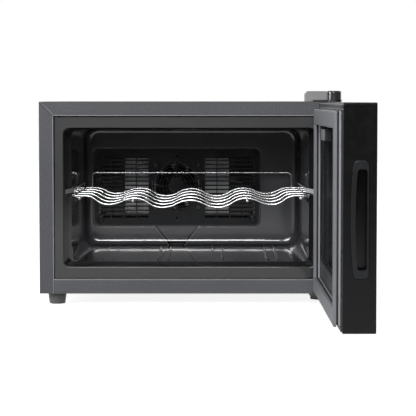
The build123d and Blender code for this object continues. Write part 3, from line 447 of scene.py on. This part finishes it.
LOOKS = {
    casing: ("cabinet_wrap",),
    pan_paint: ("base_pan",),
    rear_paint: ("rear_panel", "bulkhead"),
    liner: ("inner_liner",),
    grille: ("evaporator_cover", "cover_caps"),
    fan_plastic: ("inner_fan_frame", "inner_fan_rotor", "outer_fan_frame", "outer_fan_rotor"),
    black_plastic: ("wall_spacers", "power_inlet", "display_module", "door_light_housing"),
    gloss_black: ("door_frame",),
    knuckle_gloss: ("top_hinge_knuckle",),
    cover_grey: ("top_hinge_cover",),
    handle_grey: ("handle_insert",),
    door_inner: ("door_inner_frame",),
    gasket: ("door_gasket",),
    foot_rubber: ("rear_feet",),
    foot_plastic: ("front_left_foot", "front_right_foot"),
    chrome: ("rack_waves", "rack_side_rods", "rack_runners", "rack_fence", "rear_fan_guard"),
    zinc: ("rear_panel_screws", "clamp_screws", "top_hinge_screws", "bottom_hinge_screws"),
    dark_screw: ("inner_fan_screws", "outer_fan_screws"),
    hinge_steel: ("top_hinge_pin", "bottom_hinge_pin"),
    black_steel: ("top_hinge_bracket", "bottom_hinge_bracket"),
    fin_metal: ("cold_sink", "cold_block", "hot_sink", "board_heatsink"),
    brass: ("inlet_pins",),
    smoked: ("door_outer_glass",),
    clear: ("door_inner_glass",),
    lens: ("lamp_lens", "display_lens"),
    white_plastic: ("board_standoffs", "hinge_bushes", "hinge_washer"),
    trim_grey: ("door_light_trim",),
    wedge_black: ("bottom_hinge_cover",),
    foam: ("foam_insulation",),
    ceramic: ("peltier_module",),
    coil: ("board_transformer",),
    can: ("board_capacitors",),
    board: ("circuit_board",),
}

for look, names in LOOKS.items():
    for name in names:
        slots = nodes[name].data.materials
        slots.clear()
        slots.append(look.m)


# ------------------------------------------------------------------ pieces that only Blender makes

def finish_piece(obj, mat, body):
    """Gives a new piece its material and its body."""
    scene.collection.objects.link(obj)
    obj.data.materials.append(mat.m)
    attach(obj, body)


def plate(name, outline, z0, z1, round_off):
    """A flat strip cut to an outline in plan, with its edges rounded."""
    mesh = bpy.data.meshes.new(name)
    bm = bmesh.new()
    low = [bm.verts.new((x, y, z0)) for x, y in outline]
    high = [bm.verts.new((x, y, z1)) for x, y in outline]
    bm.faces.new(high)
    bm.faces.new(low[::-1])
    for k in range(len(low)):
        n = (k + 1) % len(low)
        bm.faces.new((low[k], low[n], high[n], high[k]))
    bmesh.ops.recalc_face_normals(bm, faces=bm.faces)
    bm.to_mesh(mesh)
    bm.free()
    obj = bpy.data.objects.new(name, mesh)
    soft = obj.modifiers.new("round", "BEVEL")
    soft.width = round_off
    soft.segments = 3
    return obj


def ledge_strips():
    """Pale strips on the room side of the upper ledges, on both sides, painting the highlight on the ledges'
    tops.
    """
    parts = (("front", TALL_STRIP, TALL_STRIP_FOOT), ("rear", THIN_STRIP, THIN_STRIP_FOOT))
    for side, hand in ((1, "left"), (-1, "right")):
        for part, plan, foot in parts:
            outline = [(side * x, y) for x, y in plan]
            strip = plate(f"ledge_highlight_strip_{hand}_{part}", outline, foot, STRIP_TOP, 0.00012)
            finish_piece(strip, ledge_highlight_grey, "cabinet")


def bead(name, node, inset, depth, corner, radius, mat):
    """A round bead on the open door's inner side, placed by its inset and depth from a CAD node."""
    low, high = box(node)
    far = high.y - inset - corner
    near = low.y + inset + corner
    top = high.z - inset - corner
    foot = low.z + inset + corner
    points = []
    for y, z, start in ((far, top, 0), (near, top, 90), (near, foot, 180), (far, foot, 270)):
        for step in range(7):
            turn = math.radians(start + step * 15)
            points.append((low.x + depth, y + corner * math.cos(turn), z + corner * math.sin(turn), 1.0))
    curve = bpy.data.curves.new(name, "CURVE")
    curve.dimensions = "3D"
    curve.bevel_depth = radius
    curve.bevel_resolution = 3
    ring = curve.splines.new("POLY")
    ring.points.add(len(points) - 1)
    for spot, place in zip(ring.points, points):
        spot.co = place
    ring.use_cyclic_u = True
    finish_piece(bpy.data.objects.new(name, curve), mat, "door")


def hinge_shade_plate():
    """Black plate under the hinge cover and the knuckle that paints the shade in the gap below them as a
    dark line.
    """
    near = -0.0001  # just proud of the casing's front
    far = box("top_hinge_cover")[1].y - 0.0005
    round_end = [(hinge_x + SHADE_PLATE_R * math.cos(math.radians(a)), hinge_y + SHADE_PLATE_R * math.sin(math.radians(a)))
                 for a in range(190, 360, 10)]
    outline = [(SHADE_PLATE_END, far), (SHADE_PLATE_END, near), (hinge_x - SHADE_PLATE_R, near), (hinge_x - SHADE_PLATE_R, hinge_y)]
    outline += round_end + [(hinge_x + SHADE_PLATE_R, hinge_y), (hinge_x + SHADE_PLATE_R, far)]
    shade_plate = plate("hinge_shade_plate", outline, casing_top - 0.00015, casing_top + SHADE_PLATE_T, 0.0002)
    finish_piece(shade_plate, bead_black, "cabinet")


def door_beads():
    """Two pale folds on the gasket's face, and the black bead round the inner glass."""
    bead("gasket_lip_outer", "door_gasket", 0.0024, 0.00045, 0.003, 0.0006, lip_pale)
    bead("gasket_lip_inner", "door_gasket", 0.018, 0.00045, 0.003, 0.0006, lip_pale)
    bead("glass_bead", "door_inner_glass", 0.001, 0.0003, 0.0015, 0.0007, bead_black)


ledge_strips()
hinge_shade_plate()
door_beads()


# ------------------------------------------------------------------ stage, light and camera

# the floor's sheets: their size, where they start in front, and where they go from dim to bright
PAPER_HALF_WIDTH = 5.0
PAPER_BACK = 6.0
PAPER_INSETS = (0.0, 0.4, 1.2)
PAPER_FRONT = -1.12
SHEEN_FRONT = -4.5
DIM_TO = -3.2
BRIGHT_FROM = -0.95

DOME_R = 11.0
AIM = (0.0, 0.1, 0.1)

# the photograph's camera
CAMERA_AT = (0.027, -2.634, 0.3065)
CAMERA_DOWN_DEG = 3.5
LENS_MM = 153.0


def paper_mesh(name, z, front):
    """A wide flat sheet in three nested rings."""
    mesh = bpy.data.meshes.new(name)
    bm = bmesh.new()
    rings = []
    for inset in PAPER_INSETS:
        x = PAPER_HALF_WIDTH - inset
        back = PAPER_BACK - inset
        corners = ((-x, front), (x, front), (x, back), (-x, back))
        rings.append([bm.verts.new((cx, cy, z)) for cx, cy in corners])
    bm.faces.new(rings[-1])
    for outer, inner in zip(rings, rings[1:]):
        for k in range(4):
            n = (k + 1) % 4
            bm.faces.new((outer[k], outer[n], inner[n], inner[k]))
    bm.to_mesh(mesh)
    bm.free()
    return mesh


def paper_sheet(name, z, front, glow, pale, rays):
    """Pale paper for one kind of ray: what the camera sees, what gloss mirrors or what lights paint."""
    obj = bpy.data.objects.new(name, paper_mesh(name, z, front))
    scene.collection.objects.link(obj)
    paper = Mat(name + "_paper", (pale, pale, pale), 0.9, Emission_Strength=1.0)
    shine = paper.times(paper.span(paper.axis("Y"), DIM_TO, BRIGHT_FROM, 0.07, 1.0), glow)
    tint = paper.nt.nodes.new("ShaderNodeCombineColor")
    for channel in ("Red", "Green", "Blue"):
        paper.link(shine, tint.inputs[channel])
    paper.link(tint.outputs["Color"], paper.bsdf.inputs["Emission Color"])
    paper.color(paper.mix(paper.noise(3.0, 2.0), (pale * 0.99,) * 3, (pale * 1.01,) * 3))
    obj.data.materials.append(paper.m)
    obj.visible_camera = rays == "camera"
    obj.visible_transmission = rays == "camera"
    obj.visible_diffuse = rays == "diffuse"
    obj.visible_glossy = rays == "glossy"


def floor():
    """The pale floor in three sheets: bright in view, but throwing little light into the black cavity."""
    paper_sheet("studio_floor", -0.0004, PAPER_FRONT, 0.84, 0.8, "camera")
    paper_sheet("studio_floor_glow", -0.0008, PAPER_FRONT, 0.16, 0.8, "diffuse")
    paper_sheet("studio_floor_sheen", -0.0012, SHEEN_FRONT, 0.75, 0.0, "glossy")


def backdrop():
    """A wide pale dome round everything, seen by the camera and through glass, and giving no light."""
    mesh = bpy.data.meshes.new("studio_backdrop")
    bm = bmesh.new()
    bmesh.ops.create_icosphere(bm, subdivisions=4, radius=DOME_R)
    for face in bm.faces:
        face.smooth = True
    bm.to_mesh(mesh)
    bm.free()
    obj = bpy.data.objects.new("studio_backdrop", mesh)
    scene.collection.objects.link(obj)
    cloth = Mat("studio_backdrop_cloth", (0.0, 0.0, 0.0), 1.0, Emission_Strength=1.0, Specular_IOR_Level=0.0)
    weave = cloth.mix(cloth.noise(2.0, 2.0), (1.0, 1.0, 1.0), (1.03, 1.03, 1.03))
    cloth.link(weave, cloth.bsdf.inputs["Emission Color"])
    obj.data.materials.append(cloth.m)
    obj.visible_diffuse = False
    obj.visible_glossy = False
    obj.visible_shadow = False


def softbox(name, at, aim, size, power):
    """A rectangular area light of so many watts, turned towards a point."""
    data = bpy.data.lights.new(name, "AREA")
    data.shape = "RECTANGLE"
    data.size = size[0]
    data.size_y = size[1]
    data.energy = power
    obj = bpy.data.objects.new(name, data)
    obj.location = at
    obj.rotation_euler = (Vector(aim) - Vector(at)).to_track_quat("-Z", "Y").to_euler()
    scene.collection.objects.link(obj)


def surroundings():
    """A world that is white behind the object and dim in front of it, so that glossy black stays black."""
    world = bpy.data.worlds.new("studio_world")
    scene.world = world
    world.use_nodes = True
    nt = world.node_tree
    coord = nt.nodes.new("ShaderNodeTexCoord")
    parts = nt.nodes.new("ShaderNodeSeparateXYZ")
    ramp = nt.nodes.new("ShaderNodeMapRange")
    ramp.interpolation_type = "SMOOTHSTEP"
    ramp.inputs["From Min"].default_value = 0.1
    ramp.inputs["From Max"].default_value = 0.75
    ramp.inputs["To Min"].default_value = 0.03
    ramp.inputs["To Max"].default_value = 1.05
    nt.links.new(coord.outputs["Generated"], parts.inputs[0])
    nt.links.new(parts.outputs["Y"], ramp.inputs["Value"])
    back = nt.nodes["Background"]
    back.inputs["Color"].default_value = (1.0, 1.0, 1.0, 1.0)
    nt.links.new(ramp.outputs["Result"], back.inputs["Strength"])


def studio():
    floor()
    backdrop()
    surroundings()
    softbox("key_front", (-0.2, -3.0, 1.45), AIM, (1.0, 1.05), 56)
    softbox("key_low", (-0.2, -3.2, 0.8), AIM, (0.5, 0.2), 2.5)
    softbox("fill_left", (-2.6, -1.2, 0.9), (0.1, -0.2, 0.15), (0.9, 1.2), 60)
    softbox("overhead", (0.0, 0.3, 2.6), (0.0, 0.2, 0.0), (1.6, 1.6), 6)


def camera():
    """The photograph's viewing angle; the lens matches its perspective."""
    data = bpy.data.cameras.new("photo_camera")
    data.sensor_width = 36.0
    data.lens = LENS_MM
    data.clip_end = 50.0
    obj = bpy.data.objects.new("photo_camera", data)
    obj.location = CAMERA_AT
    obj.rotation_euler = (math.radians(90.0 - CAMERA_DOWN_DEG), 0.0, 0.0)
    scene.collection.objects.link(obj)
    scene.camera = obj


studio()
camera()
scene.view_settings.view_transform = "Standard"
